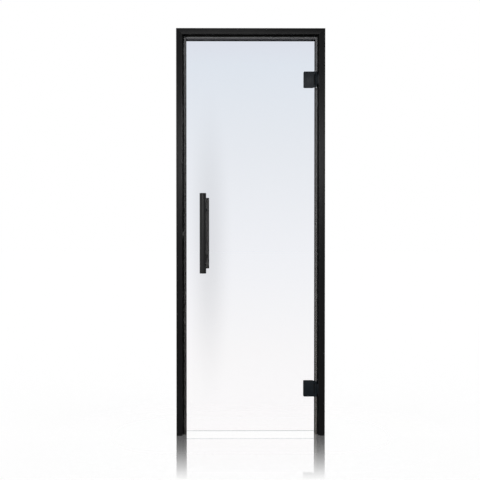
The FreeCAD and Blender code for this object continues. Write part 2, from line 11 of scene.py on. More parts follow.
import bmesh
import bpy
from mathutils import Matrix, Vector


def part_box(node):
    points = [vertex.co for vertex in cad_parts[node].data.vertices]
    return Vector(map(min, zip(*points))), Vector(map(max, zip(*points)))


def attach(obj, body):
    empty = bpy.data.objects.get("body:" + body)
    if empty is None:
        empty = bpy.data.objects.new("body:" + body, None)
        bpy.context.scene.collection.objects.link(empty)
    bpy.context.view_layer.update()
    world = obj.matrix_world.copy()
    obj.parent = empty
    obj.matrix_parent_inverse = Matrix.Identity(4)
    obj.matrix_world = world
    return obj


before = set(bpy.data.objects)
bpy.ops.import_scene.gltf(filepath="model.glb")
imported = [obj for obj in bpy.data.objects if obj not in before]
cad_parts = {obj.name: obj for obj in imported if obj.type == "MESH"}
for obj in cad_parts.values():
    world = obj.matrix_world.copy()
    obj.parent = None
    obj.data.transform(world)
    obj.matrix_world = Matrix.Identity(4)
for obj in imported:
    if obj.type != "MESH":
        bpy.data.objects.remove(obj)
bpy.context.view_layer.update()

log = logging.getLogger("sauna_door")

Colour = tuple[float, float, float]
Point = tuple[float, float, float]
Socket = bpy.types.NodeSocket

MM = 0.001
WHITE = (1.0, 1.0, 1.0, 1.0)

# Vertices nearer to each other than this become one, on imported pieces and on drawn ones
PACKED_WELD = 0.002 * MM
DRAWN_WELD = 0.001 * MM

# Below the first angle two faces count as one flat; above the others an edge is shaded sharp, or eased
FLAT_ANGLE = math.radians(0.5)
SHARP_ANGLE = math.radians(24)
DRAWN_SHARP_ANGLE = math.radians(35)
EASED_ANGLE = math.radians(40)


class Body(Enum):
    """The bodies that the added pieces ride on."""

    FRAME = "frame"
    LEAF = "leaf"


class Place(Enum):
    """Which of two like pieces this is."""

    LOWER = "lower"
    UPPER = "upper"


class Facing(Enum):
    """The direction that a fastener's head looks towards."""

    INSIDE = (0.0, 1.0, 0.0)
    TO_HINGES = (1.0, 0.0, 0.0)
    TO_STRIKE = (-1.0, 0.0, 0.0)


class Recess(Enum):
    """The driver's recess in a fastener, as the number of its sides; a plug has none."""

    HEX = 6
    PLAIN = 0


class Reach(Enum):
    """What a lamp does: whether it lights matt surfaces, and whether it shows in gloss."""

    ALL = (True, True)
    MATT = (True, False)
    GLOSS = (False, True)


class LampLink(Enum):
    """Whether a lamp lights the objects of its collection alone, or all the others."""

    ONLY = "INCLUDE"
    ALL_BUT = "EXCLUDE"


# Finishes


class Bench:
    """The node tree of one material while it is being put together."""

    def __init__(self, name: str) -> None:
        """Start a material with a Principled shader wired to its output.

        Args:
            name: The material's name.
        """
        self.material = bpy.data.materials.new(name)
        self.material.use_nodes = True
        self.tree = self.material.node_tree
        self.tree.nodes.clear()
        self.output = self.add("ShaderNodeOutputMaterial")
        self.shader = self.add("ShaderNodeBsdfPrincipled")
        self.link(self.shader.outputs["BSDF"], self.output.inputs["Surface"])
        self.place = self.add("ShaderNodeTexCoord").outputs["Object"]

    def add(self, kind: str, **values: object) -> bpy.types.Node:
        """Add a node and set its sockets or settings by name.

        Args:
            kind: The node's type name.
            values: Sockets, or settings where no socket has the name; _ stands for a space.

        Returns:
            The new node.
        """
        node = self.tree.nodes.new(kind)
        for key, value in values.items():
            socket = node.inputs.get(key.replace("_", " "))
            if socket is None:
                setattr(node, key, value)
            else:
                socket.default_value = value
        return node

    def link(self, source: Socket, target: Socket) -> None:
        """Wire one socket to another."""
        self.tree.links.new(source, target)

    def maths(self, kind: str, operation: str, *values: object) -> bpy.types.Node:
        """Add a maths node and fill its inputs in order.

        Args:
            kind: The node's type name.
            operation: What the node works out.
            values: A socket or a constant for each input.

        Returns:
            The new node.
        """
        node = self.add(kind, operation=operation)
        for value, target in zip(values, node.inputs):
            if isinstance(value, Socket):
                self.link(value, target)
            else:
                target.default_value = value
        return node

    def number(self, operation: str, *values: object) -> Socket:
        """The result of a sum on numbers."""
        return self.maths("ShaderNodeMath", operation, *values).outputs["Value"]

    def vector(self, operation: str, *values: object) -> Socket:
        """The result of a sum on vectors that gives a vector."""
        return self.maths("ShaderNodeVectorMath", operation, *values).outputs["Vector"]

    def measure(self, operation: str, *values: object) -> Socket:
        """The result of a sum on vectors that gives a number."""
        return self.maths("ShaderNodeVectorMath", operation, *values).outputs["Value"]

    def noise(self, scale: float, detail: float = 2.0, stretch: Point = (1.0, 1.0, 1.0)) -> Socket:
        """A noise pattern fixed to the piece.

        Args:
            scale: Bumps to a metre.
            detail: Finer layers of the noise.
            stretch: How much denser the pattern is along each axis.

        Returns:
            The pattern's value socket, about 0 to 1.
        """
        turn = self.add("ShaderNodeMapping", Scale=stretch)
        self.link(self.place, turn.inputs["Vector"])
        pattern = self.add("ShaderNodeTexNoise", Scale=scale, Detail=detail)
        self.link(turn.outputs["Vector"], pattern.inputs["Vector"])
        return pattern.outputs["Fac"]

    def spread(self, source: Socket, low: float, high: float) -> Socket:
        """Map the useful part of a noise pattern to a range of values.

        Args:
            source: A noise value.
            low: The value where the noise is low.
            high: The value where the noise is high.

        Returns:
            The mapped value.
        """
        noise_low, noise_high = 0.3, 0.7
        ranged = self.add(
            "ShaderNodeMapRange", From_Min=noise_low, From_Max=noise_high, To_Min=low, To_Max=high
        )
        self.link(source, ranged.inputs["Value"])
        return ranged.outputs["Result"]

    def blend_colours(self, share: Socket, first: Socket | Colour, second: Colour) -> Socket:
        """Mix two colours by a value.

        Args:
            share: 0 for the first colour, 1 for the second.
            first: A colour's socket, or linear red, green and blue.
            second: Linear red, green and blue.

        Returns:
            The mixed colour.
        """
        mix = self.add("ShaderNodeMix", data_type="RGBA")
        colour_sockets = [socket for socket in mix.inputs if socket.type == "RGBA"]
        if isinstance(first, Socket):
            self.link(first, colour_sockets[0])
        else:
            colour_sockets[0].default_value = (*first, 1.0)
        colour_sockets[1].default_value = (*second, 1.0)
        self.link(share, mix.inputs["Factor"])
        return next(socket for socket in mix.outputs if socket.type == "RGBA")

    def vary_colour(self, pattern: Socket, first: Colour, second: Colour) -> None:
        """Let a noise pattern shift the surface from the first tone to the second."""
        tone = self.blend_colours(self.spread(pattern, 0.0, 1.0), first, second)
        self.link(tone, self.shader.inputs["Base Color"])

    def vary_roughness(self, pattern: Socket, middle: float, swing: float) -> None:
        """Let a noise pattern swing the roughness to each side of its middle."""
        level = self.spread(pattern, middle - swing, middle + swing)
        self.link(level, self.shader.inputs["Roughness"])

    def bump(self, height: Socket, depth: float) -> None:
        """Let a pattern raise the surface.

        Args:
            height: The pattern, 0 to 1.
            depth: The height of a full bump in metres.
        """
        node = self.add("ShaderNodeBump", Strength=1.0, Distance=depth)
        self.link(height, node.inputs["Height"])
        self.link(node.outputs["Normal"], self.shader.inputs["Normal"])

    def dull_at_grazing(self, specular: float) -> None:
        """Let the gloss of a fine-grained surface die away where it is seen edge on.

        Args:
            specular: The specular level of the surface seen square on.
        """
        square_on, edge_on = 0.45, 0.80
        facing = self.add("ShaderNodeLayerWeight", Blend=0.5)
        level = self.add(
            "ShaderNodeMapRange", From_Min=square_on, From_Max=edge_on, To_Min=specular, To_Max=0.0
        )
        self.link(facing.outputs["Facing"], level.inputs["Value"])
        self.set_shader(Specular_IOR_Level=specular)
        self.link(level.outputs["Result"], self.shader.inputs["Specular IOR Level"])

    def set_shader(self, **values: object) -> None:
        """Set constants on the shader's own sockets; _ stands for a space."""
        for key, value in values.items():
            self.shader.inputs[key.replace("_", " ")].default_value = value


@dataclass(frozen=True)
class PowderCoat:
    """Black paint with a fine orange peel, matt on the frame and smoother on the fittings.

    The grain, the clouds of tone and the patches of sheen are in bumps to a metre.
    """

    name: str
    colour: Colour
    paler: Colour
    roughness: float
    roughness_swing: float
    specular: float
    grain: float
    grain_depth: float
    clouds: float = 9.0
    patches: float = 38.0
    detail: float = 3.0

    def make(self) -> bpy.types.Material:
        """Build the material: two tones of black, an uneven sheen and the orange peel.

        Returns:
            The finished material.
        """
        bench = Bench(self.name)
        bench.dull_at_grazing(self.specular)
        bench.vary_colour(bench.noise(self.clouds, self.detail), self.colour, self.paler)
        bench.vary_roughness(bench.noise(self.patches), self.roughness, self.roughness_swing)
        bench.bump(bench.noise(self.grain, self.detail), self.grain_depth)
        return bench.material


@dataclass(frozen=True)
class Rubber:
    """Extruded black rubber with faint draw lines along its length.

    The lines are in bumps to a metre, and their stretch makes them denser across the strip than along it.
    """

    name: str
    colour: Colour
    paler: Colour
    roughness: float
    specular: float
    stretch: Point
    roughness_swing: float = 0.08
    lines: float = 60.0
    detail: float = 4.0
    line_depth: float = 0.008 * MM

    def make(self) -> bpy.types.Material:
        """Build the material: a dull black with streaks along the strip.

        Returns:
            The finished material.
        """
        bench = Bench(self.name)
        bench.dull_at_grazing(self.specular)
        streak = bench.noise(self.lines, self.detail, self.stretch)
        bench.vary_colour(streak, self.colour, self.paler)
        bench.vary_roughness(streak, self.roughness, self.roughness_swing)
        bench.bump(streak, self.line_depth)
        return bench.material


@dataclass(frozen=True)
class Plastic:
    """Moulded plastic with a fine spark-eroded grain.

    The grain and the clouds of tone are in bumps to a metre.
    """

    name: str
    colour: Colour
    paler: Colour
    roughness: float
    roughness_swing: float = 0.05
    specular: float = 0.4
    clouds: float = 150.0
    detail: float = 3.0
    grain: float = 1800.0
    grain_depth: float = 0.02 * MM

    def make(self) -> bpy.types.Material:
        """Build the material: a little unevenness of colour and a fine grain.

        Returns:
            The finished material.
        """
        bench = Bench(self.name)
        bench.set_shader(Specular_IOR_Level=self.specular)
        cloud = bench.noise(self.clouds, self.detail)
        bench.vary_colour(cloud, self.colour, self.paler)
        bench.vary_roughness(cloud, self.roughness, self.roughness_swing)
        bench.bump(bench.noise(self.grain), self.grain_depth)
        return bench.material


@dataclass(frozen=True)
class TurnedSteel:
    """Steel left bare, with fine turning marks across its axis.

    The marks are in bumps to a metre, and their stretch makes them denser along the axis.
    """

    name: str
    colour: Colour
    darker: Colour
    roughness: float
    roughness_swing: float = 0.07
    marks: float = 90.0
    detail: float = 5.0
    stretch: Point = (1.0, 1.0, 45.0)
    mark_depth: float = 0.01 * MM

    def make(self) -> bpy.types.Material:
        """Build the material: bare metal whose marks run round the axis.

        Returns:
            The finished material.
        """
        bench = Bench(self.name)
        bench.set_shader(Metallic=1.0)
        mark = bench.noise(self.marks, self.detail, self.stretch)
        bench.vary_colour(mark, self.colour, self.darker)
        bench.vary_roughness(mark, self.roughness, self.roughness_swing)
        bench.bump(mark, self.mark_depth)
        return bench.material


@dataclass(frozen=True)
class SafetyGlass:
    """Clear toughened glass with polished edges; its faint blue tint that fades down is a painted
    reflection.
    """

    name: str
    # The painted reflection: the tint's stops from the pane's foot to its top
    painted_reflection_tints: tuple[tuple[float, Colour], ...]
    edge: Colour
    ior: float
    low: float
    high: float
    front: float
    back: float
    # The painted shadow of the handle: its middle, its reach along each axis and its depth
    painted_shadow_at: Point
    painted_shadow_reach: Point
    painted_shadow_depth: float
    shadow: Colour = (0.95, 0.96, 0.97)
    rim_inset: float = 0.02 * MM

    def make(self) -> bpy.types.Material:
        """Build the material: a painted reflection and a painted shadow in the faces' tint, and a denser
        tint in the edges.

        Returns:
            The finished material.
        """
        bench = Bench(self.name)
        bench.set_shader(Transmission_Weight=1.0, Roughness=0.0, IOR=self.ior)
        # The faces' tint: the painted reflection, darkened by the painted shadow beside the handle
        faces = self.painted_handle_shadow(bench, self.painted_reflection_grade(bench))
        tint = bench.blend_colours(self.rim_share(bench), faces, self.edge)
        bench.link(tint, bench.shader.inputs["Base Color"])
        self.let_lamps_through(bench)
        return bench.material

    def painted_reflection_grade(self, bench: Bench) -> Socket:
        """Paint a reflection into the tint, changing with height from the pane's foot to its top.

        Args:
            bench: The material being built.

        Returns:
            The glass's colour with the painted reflection in it.
        """
        split = bench.add("ShaderNodeSeparateXYZ")
        bench.link(bench.place, split.inputs["Vector"])
        height = bench.add("ShaderNodeMapRange", From_Min=self.low, From_Max=self.high)
        bench.link(split.outputs["Z"], height.inputs["Value"])
        ramp = bench.add("ShaderNodeValToRGB")
        bench.link(height.outputs["Result"], ramp.inputs["Fac"])
        stops = ramp.color_ramp.elements
        halfway = 0.5
        while len(stops) < len(self.painted_reflection_tints):
            stops.new(halfway)
        for stop, (share, tint) in zip(stops, self.painted_reflection_tints):
            stop.position = share
            stop.color = (*tint, 1.0)
        return ramp.outputs["Color"]

    def painted_handle_shadow(self, bench: Bench, tint: Socket) -> Socket:
        """Paint the handle's shadow into the tint, a little darker in a soft oval beside the handle.

        Args:
            bench: The material being built.
            tint: The glass's colour with the painted reflection, before the painted shadow.

        Returns:
            The tint with the painted shadow in it.
        """
        reach = bench.vector("SUBTRACT", bench.place, self.painted_shadow_at)
        share = bench.vector("DIVIDE", reach, self.painted_shadow_reach)
        fade = bench.add(
            "ShaderNodeMapRange", interpolation_type="SMOOTHSTEP", To_Min=1 - self.painted_shadow_depth, To_Max=1.0
        )
        bench.link(bench.measure("LENGTH", share), fade.inputs["Value"])
        darker = bench.add("ShaderNodeVectorMath", operation="SCALE")
        bench.link(tint, darker.inputs["Vector"])
        bench.link(fade.outputs["Result"], darker.inputs["Scale"])
        return darker.outputs["Vector"]

    def rim_share(self, bench: Bench) -> Socket:
        """Where the surface is one of the pane's edges.

        Args:
            bench: The material being built.

        Returns:
            1 on the edges and arrises, and 0 on the two faces.
        """
        split = bench.add("ShaderNodeSeparateXYZ")
        bench.link(bench.place, split.inputs["Vector"])
        depth = bench.number("SUBTRACT", split.outputs["Y"], (self.front + self.back) / 2)
        from_middle = bench.number("ABSOLUTE", depth)
        return bench.number("LESS_THAN", from_middle, (self.back - self.front) / 2 - self.rim_inset)

    def let_lamps_through(self, bench: Bench) -> None:
        """Let light pass the pane on its way to what stands behind.

        Args:
            bench: The material being built.
        """
        path = bench.add("ShaderNodeLightPath")
        clear = bench.add("ShaderNodeBsdfTransparent")
        clear.inputs["Color"].default_value = (*self.shadow, 1.0)
        mix = bench.add("ShaderNodeMixShader")
        bench.link(path.outputs["Is Shadow Ray"], mix.inputs[0])
        bench.link(bench.shader.outputs["BSDF"], mix.inputs[1])
        bench.link(clear.outputs["BSDF"], mix.inputs[2])
        bench.link(mix.outputs["Shader"], bench.output.inputs["Surface"])


# Meshes


def smoothing_group() -> bpy.types.GeometryNodeTree:
    """A node group that shades round surfaces smooth and keeps real edges sharp.

    Returns:
        The group, made once.
    """
    name = "smooth_rounds"
    if name in bpy.data.node_groups:
        return bpy.data.node_groups[name]
    tree = bpy.data.node_groups.new(name, "GeometryNodeTree")
    tree.interface.new_socket("Geometry", in_out="INPUT", socket_type="NodeSocketGeometry")
    tree.interface.new_socket("Geometry", in_out="OUTPUT", socket_type="NodeSocketGeometry")
    start = tree.nodes.new("NodeGroupInput")
    end = tree.nodes.new("NodeGroupOutput")
    faces = tree.nodes.new("GeometryNodeSetShadeSmooth")
    edges = tree.nodes.new("GeometryNodeSetShadeSmooth")
    edges.domain = "EDGE"
    edges.inputs["Shade Smooth"].default_value = False
    angle = tree.nodes.new("GeometryNodeInputMeshEdgeAngle")
    steep = tree.nodes.new("FunctionNodeCompare")
    steep.operation = "GREATER_THAN"
    steep.inputs["B"].default_value = SHARP_ANGLE
    tree.links.new(start.outputs[0], faces.inputs["Geometry"])
    tree.links.new(faces.outputs["Geometry"], edges.inputs["Geometry"])
    tree.links.new(angle.outputs["Unsigned Angle"], steep.inputs["A"])
    tree.links.new(steep.outputs["Result"], edges.inputs["Selection"])
    tree.links.new(edges.outputs["Geometry"], end.inputs[0])
    return tree


def ease_edges(piece: bpy.types.Object, width: float) -> None:
    """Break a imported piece's sharp edges and shade its rounds smooth, with modifiers alone.

    Args:
        piece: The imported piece.
        width: The width of the eased edge in metres, or 0 to leave the edges as they are.
    """
    weld = piece.modifiers.new("weld", "WELD")
    weld.merge_threshold = PACKED_WELD
    if width:
        planar = piece.modifiers.new("planar", "DECIMATE")
        planar.decimate_type = "DISSOLVE"
        planar.angle_limit = FLAT_ANGLE
        bevel = piece.modifiers.new("eased_edges", "BEVEL")
        bevel.limit_method = "ANGLE"
        bevel.angle_limit = EASED_ANGLE
        bevel.width = width
        bevel.segments = 2
        bevel.profile = 0.5
    smooth = piece.modifiers.new("smooth_rounds", "NODES")
    smooth.node_group = smoothing_group()


def dress(node: str, material: bpy.types.Material, eased: float = 0.0) -> None:
    """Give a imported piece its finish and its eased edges.

    Args:
        node: The piece's name.
        material: The finish.
        eased: The width of the eased edges in metres, or 0 to leave the edges as they are.
    """
    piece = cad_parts[node]
    piece.data.materials.clear()
    piece.data.materials.append(material)
    ease_edges(piece, eased)
    log.info("%s dressed", node)


def finish_mesh(bm: bmesh.types.BMesh, name: str, material: bpy.types.Material) -> bpy.types.Object:
    """Turn a bmesh into a finished piece at the origin.

    Args:
        bm: The mesh, freed here.
        name: The piece's name.
        material: Its finish.

    Returns:
        The new piece, not yet riding on a body.
    """
    bmesh.ops.remove_doubles(bm, verts=bm.verts, dist=DRAWN_WELD)
    bmesh.ops.recalc_face_normals(bm, faces=bm.faces)
    for face in bm.faces:
        face.smooth = True
    for edge in bm.edges:
        edge.smooth = len(edge.link_faces) == 2 and edge.calc_face_angle(0.0) < DRAWN_SHARP_ANGLE
    mesh = bpy.data.meshes.new(name)
    bm.to_mesh(mesh)
    bm.free()
    mesh.materials.append(material)
    piece = bpy.data.objects.new(name, mesh)
    bpy.context.scene.collection.objects.link(piece)
    return piece


@dataclass(frozen=True)
class Fastener:
    """A screw's head or a plug, drawn looking along +Z with its rim at Z = 0.

    The shares of its radius and crown say where the flat ends and where its rounded shoulder lies.
    """

    radius: float
    crown: float
    depth: float
    foot_radius: float
    recess: Recess = Recess.HEX
    recess_radius: float = 0.0
    recess_depth: float = 0.0
    sides: int = 32
    flat_share: float = 0.72
    shoulder_share: float = 0.94
    shoulder_height: float = 0.62

    def rings(self) -> list[tuple[float, float]]:
        """List the head's outline as rings.

        Returns:
            Radius and height of each ring, from the flat of the crown down to the foot.
        """
        return [
            (self.flat_share * self.radius, self.crown),
            (self.shoulder_share * self.radius, self.shoulder_height * self.crown),
            (self.radius, 0.0),
            (self.foot_radius, -self.depth),
        ]

    def build(self, bm: bmesh.types.BMesh, at: Vector, facing: Facing) -> None:
        """Add one head to a mesh.

        Args:
            bm: The mesh that gets it.
            at: The middle of the head's rim.
            facing: Where the head looks.
        """
        part = bmesh.new()
        rings = self.rings()
        first = bmesh.ops.create_circle(part, segments=self.sides, radius=rings[0][0])["verts"]
        loop = self.edges_of(first)
        bmesh.ops.translate(part, verts=first, vec=(0, 0, rings[0][1]))
        if self.recess is Recess.PLAIN:
            bmesh.ops.contextual_create(part, geom=loop)
        else:
            self.cut_recess(part, loop, rings[0][1])
        for (radius, height), (last_radius, last_height) in zip(rings[1:], rings):
            grown = bmesh.ops.extrude_edge_only(part, edges=loop)["geom"]
            verts = [item for item in grown if isinstance(item, bmesh.types.BMVert)]
            loop = [item for item in grown if isinstance(item, bmesh.types.BMEdge)]
            share = radius / last_radius
            bmesh.ops.scale(part, verts=verts, vec=(share, share, 1))
            bmesh.ops.translate(part, verts=verts, vec=(0, 0, height - last_height))
        bmesh.ops.contextual_create(part, geom=loop)
        turn = Vector((0, 0, 1)).rotation_difference(Vector(facing.value)).to_matrix().to_4x4()
        bmesh.ops.transform(part, matrix=Matrix.Translation(at) @ turn, verts=part.verts)
        self.put_in_order(part)
        self.join(part, bm)

    def cut_recess(self, part: bmesh.types.BMesh, loop: list[bmesh.types.BMEdge], height: float) -> None:
        """Sink the driver's socket into the crown.

        Args:
            part: The head being built.
            loop: The rim of the crown's flat.
            height: The height of that flat.
        """
        sides = self.recess.value
        socket = bmesh.ops.create_circle(part, segments=sides, radius=self.recess_radius)["verts"]
        bmesh.ops.translate(part, verts=socket, vec=(0, 0, height))
        mouth = self.edges_of(socket)
        bmesh.ops.bridge_loops(part, edges=loop + mouth)
        sunk = bmesh.ops.extrude_edge_only(part, edges=mouth)["geom"]
        verts = [item for item in sunk if isinstance(item, bmesh.types.BMVert)]
        bmesh.ops.translate(part, verts=verts, vec=(0, 0, -self.recess_depth))
        floor = [item for item in sunk if isinstance(item, bmesh.types.BMEdge)]
        bmesh.ops.contextual_create(part, geom=floor)

    @staticmethod
    def edges_of(ring: list[bmesh.types.BMVert]) -> list[bmesh.types.BMEdge]:
        """The edges round a ring, each of them once and in the same order on every run."""
        return list(dict.fromkeys(edge for vert in ring for edge in vert.link_edges))

    @staticmethod
    def put_in_order(part: bmesh.types.BMesh) -> None:
        """Order edges and faces by their corners, because an extrusion's own order changes from run to run.

        Args:
            part: The head being built.
        """
        part.verts.index_update()
        for items in (part.edges, part.faces):
            ordered = sorted(items, key=lambda item: sorted(vert.index for vert in item.verts))
            for place, item in enumerate(ordered):
                item.index = place
            items.sort()

    @staticmethod
    def join(part: bmesh.types.BMesh, bm: bmesh.types.BMesh) -> None:
        """Move a finished part into a larger mesh.

        Args:
            part: The part, freed here.
            bm: The mesh that gets it.
        """
        bmesh.ops.recalc_face_normals(part, faces=part.faces)
        carrier = bpy.data.meshes.new("carrier")
        part.to_mesh(carrier)
        part.free()
        bm.from_mesh(carrier)
        bpy.data.meshes.remove(carrier)


# The door's sub-assemblies


@dataclass
class Paints:
    """Every finish of the door, made once."""

    coat: PowderCoat = PowderCoat(
        name="frame_coat",
        colour=(0.0015, 0.0015, 0.0016),
        paler=(0.0023, 0.0023, 0.0024),
        roughness=0.33,
        roughness_swing=0.015,
        specular=0.065,
        grain=950.0,
        grain_depth=0.014 * MM,
    )
    hinge_paint: PowderCoat = PowderCoat(
        name="hinge_paint",
        colour=(0.0008, 0.0018, 0.0027),
        paler=(0.0013, 0.0026, 0.0037),
        roughness=0.40,
        roughness_swing=0.04,
        specular=0.085,
        grain=1500.0,
        grain_depth=0.015 * MM,
    )
    handle_paint: PowderCoat = PowderCoat(
        name="handle_paint",
        colour=(0.0050, 0.0050, 0.0051),
        paler=(0.0068, 0.0068, 0.0069),
        roughness=0.36,
        roughness_swing=0.04,
        specular=0.10,
        grain=1700.0,
        grain_depth=0.012 * MM,
    )
    # The inner bar's own satin paint, glossier than the outer bar's; its paler colour is a painted
    # reflection on its flat front
    grip_paint_painted_reflection: PowderCoat = PowderCoat(
        name="grip_paint_painted_reflection",
        colour=(0.0205, 0.0188, 0.0168),
        paler=(0.0250, 0.0230, 0.0206),
        roughness=0.42,
        roughness_swing=0.04,
        specular=0.15,
        grain=1700.0,
        grain_depth=0.012 * MM,
    )
    screw_black: PowderCoat = PowderCoat(
        name="screw_black",
        colour=(0.010, 0.010, 0.011),
        paler=(0.018, 0.018, 0.019),
        roughness=0.36,
        roughness_swing=0.06,
        specular=0.5,
        grain=2500.0,
        grain_depth=0.01 * MM,
    )
    jamb_rubber: Rubber = Rubber(
        name="jamb_rubber",
        colour=(0.044, 0.040, 0.037),
        paler=(0.053, 0.049, 0.044),
        roughness=0.72,
        specular=0.1,
        stretch=(12.0, 12.0, 0.02),
    )
    head_rubber: Rubber = Rubber(
        name="head_rubber",
        colour=(0.072, 0.066, 0.060),
        paler=(0.084, 0.077, 0.070),
        roughness=0.72,
        specular=0.1,
        stretch=(0.02, 12.0, 12.0),
    )
    pad_rubber: Rubber = Rubber(
        name="pad_rubber",
        colour=(0.012, 0.012, 0.012),
        paler=(0.020, 0.020, 0.020),
        roughness=0.80,
        specular=0.2,
        stretch=(3.0, 3.0, 3.0),
    )
    catch_plastic: Plastic = Plastic(
        name="catch_plastic",
        colour=(0.006, 0.006, 0.006),
        paler=(0.010, 0.010, 0.010),
        roughness=0.50,
    )
    roller_plastic: Plastic = Plastic(
        name="roller_plastic",
        colour=(0.085, 0.085, 0.083),
        paler=(0.11, 0.11, 0.105),
        roughness=0.38,
    )
    steel: TurnedSteel = TurnedSteel(
        name="turned_steel",
        colour=(0.42, 0.42, 0.43),
        darker=(0.30, 0.30, 0.31),
        roughness=0.32,
    )
    made: dict[str, bpy.types.Material] = field(default_factory=dict)

    def get(self, finish: str) -> bpy.types.Material:
        """Hand out a finish, built the first time it is asked for.

        Args:
            finish: The field's name.

        Returns:
            Its material.
        """
        if finish not in self.made:
            self.made[finish] = getattr(self, finish).make()
        return self.made[finish]


@dataclass
class DoorFrame:
    """Two jambs and a head, their seals, and the plugs over the wall screws."""

    paints: Paints
    eased: float = 0.6 * MM
    plug: Fastener = Fastener(
        radius=6.6 * MM,
        crown=0.9 * MM,
        depth=0.05 * MM,
        foot_radius=5.6 * MM,
        recess=Recess.PLAIN,
    )
    plug_y: float = 15 * MM
    plug_heights: tuple[float, ...] = (0.100, 0.620, 1.270, 1.790)

    def build(self) -> None:
        """Dress the frame and close the screws' access holes."""
        for node in ("strike_jamb", "hinge_jamb", "head"):
            dress(node, self.paints.get("coat"), self.eased)
        seals = {"strike_seal": "jamb_rubber", "hinge_seal": "jamb_rubber", "head_seal": "head_rubber"}
        for node, rubber in seals.items():
            dress(node, self.paints.get(rubber))
        strike_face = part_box("strike_jamb")[1].x
        hinge_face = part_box("hinge_jamb")[0].x
        self.build_plugs("strike_jamb_plugs", strike_face, Facing.TO_HINGES)
        self.build_plugs("hinge_jamb_plugs", hinge_face, Facing.TO_STRIKE)

    def build_plugs(self, name: str, face: float, facing: Facing) -> None:
        """The four plastic plugs of one jamb.

        Args:
            name: The piece's name.
            face: X of the jamb's inner face.
            facing: Where the plugs look.
        """
        bm = bmesh.new()
        for height in self.plug_heights:
            self.plug.build(bm, Vector((face, self.plug_y, height)), facing)
        piece = finish_mesh(bm, name, self.paints.get("catch_plastic"))
        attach(piece, Body.FRAME.value)
        log.info("%s built", name)


@dataclass
class GlassLeaf:
    """The drilled pane with its bevelled and polished edges."""

    # The painted reflection's stops: the share of the height from the foot, and the tint there
    painted_reflection_tints: tuple[tuple[float, Colour], ...] = (
        (0.0, (0.976, 0.962, 0.967)),
        (0.20, (0.932, 0.925, 0.935)),
        (0.45, (0.865, 0.876, 0.912)),
        (0.70, (0.793, 0.820, 0.867)),
        (0.93, (0.732, 0.780, 0.848)),
        (1.0, (0.712, 0.738, 0.815)),
    )
    edge: Colour = (0.40, 0.46, 0.47)
    ior: float = 1.20
    # The painted shadow of the handle: its depth, its shift right and drop from the bar's middle, and its
    # reach
    painted_shadow_depth: float = 0.157
    painted_shadow_shift: float = 27 * MM
    painted_shadow_drop: float = 84 * MM
    painted_shadow_reach: Point = (116 * MM, 1.0, 805 * MM)

    def build(self) -> None:
        """Dress the pane."""
        low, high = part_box("glass_pane")
        bar_low, bar_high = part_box("outer_handle_bar")
        middle = (bar_low + bar_high) / 2
        glass = SafetyGlass(
            name="safety_glass",
            painted_reflection_tints=self.painted_reflection_tints,
            edge=self.edge,
            ior=self.ior,
            low=low.z,
            high=high.z,
            front=low.y,
            back=high.y,
            painted_shadow_at=(middle.x + self.painted_shadow_shift, high.y, middle.z - self.painted_shadow_drop),
            painted_shadow_reach=self.painted_shadow_reach,
            painted_shadow_depth=self.painted_shadow_depth,
        )
        dress("glass_pane", glass.make())


@dataclass
class ClampHinge:
    """One hinge: the frame's plate, the pin, the two clamp plates, the pads and the screws."""

    paints: Paints
    place: Place
    eased: float = 0.35 * MM
    plate_thick: float = 2 * MM
    plate_screw: Fastener = Fastener(
        radius=3.1 * MM,
        crown=0.35 * MM,
        depth=1.0 * MM,
        foot_radius=2.05 * MM,
        recess_radius=1.35 * MM,
        recess_depth=0.9 * MM,
    )
    plate_screw_from_edge: float = 6 * MM
    plate_screw_rise: float = 28 * MM
    clamp_screw: Fastener = Fastener(
        radius=4.8 * MM,
        crown=0.35 * MM,
        depth=2.3 * MM,
        foot_radius=2.5 * MM,
        recess_radius=2.0 * MM,
        recess_depth=1.6 * MM,
    )
    clamp_screw_rise: float = 20 * MM

    def node(self, part: str) -> str:
        """The name of one of this hinge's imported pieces."""
        return f"{self.place.value}_{part}"

    def build(self) -> None:
        """Dress the hinge and set its screws."""
        for part, paint, eased in (
            ("hinge_plate", "hinge_paint", self.eased),
            ("outer_clamp", "hinge_paint", self.eased),
            ("inner_clamp", "hinge_paint", self.eased),
            ("hinge_pin", "steel", 0.0),
            ("outer_pad", "pad_rubber", 0.0),
            ("inner_pad", "pad_rubber", 0.0),
        ):
            dress(self.node(part), self.paints.get(paint), eased)
        self.build_plate_screws()
        self.build_clamp_screws()

    def build_plate_screws(self) -> None:
        """Three low-headed socket screws that hold the plate to the jamb."""
        low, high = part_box(self.node("hinge_plate"))
        middle = (low.z + high.z) / 2
        face = high.x - self.plate_thick
        bm = bmesh.new()
        for rise in (-self.plate_screw_rise, 0.0, self.plate_screw_rise):
            at = Vector((face, high.y - self.plate_screw_from_edge, middle + rise))
            self.plate_screw.build(bm, at, Facing.TO_STRIKE)
        name = self.node("hinge_plate_screws")
        piece = finish_mesh(bm, name, self.paints.get("screw_black"))
        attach(piece, Body.FRAME.value)
        log.info("%s built", name)

    def build_clamp_screws(self) -> None:
        """Two low-headed socket screws that pull the clamp together through the glass."""
        low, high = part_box(self.node("inner_clamp"))
        middle = (low + high) / 2
        bm = bmesh.new()
        for rise in (-self.clamp_screw_rise, self.clamp_screw_rise):
            at = Vector((middle.x, high.y, middle.z + rise))
            self.clamp_screw.build(bm, at, Facing.INSIDE)
        name = self.node("clamp_screws")
        piece = finish_mesh(bm, name, self.paints.get("screw_black"))
        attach(piece, Body.LEAF.value)
        log.info("%s built", name)


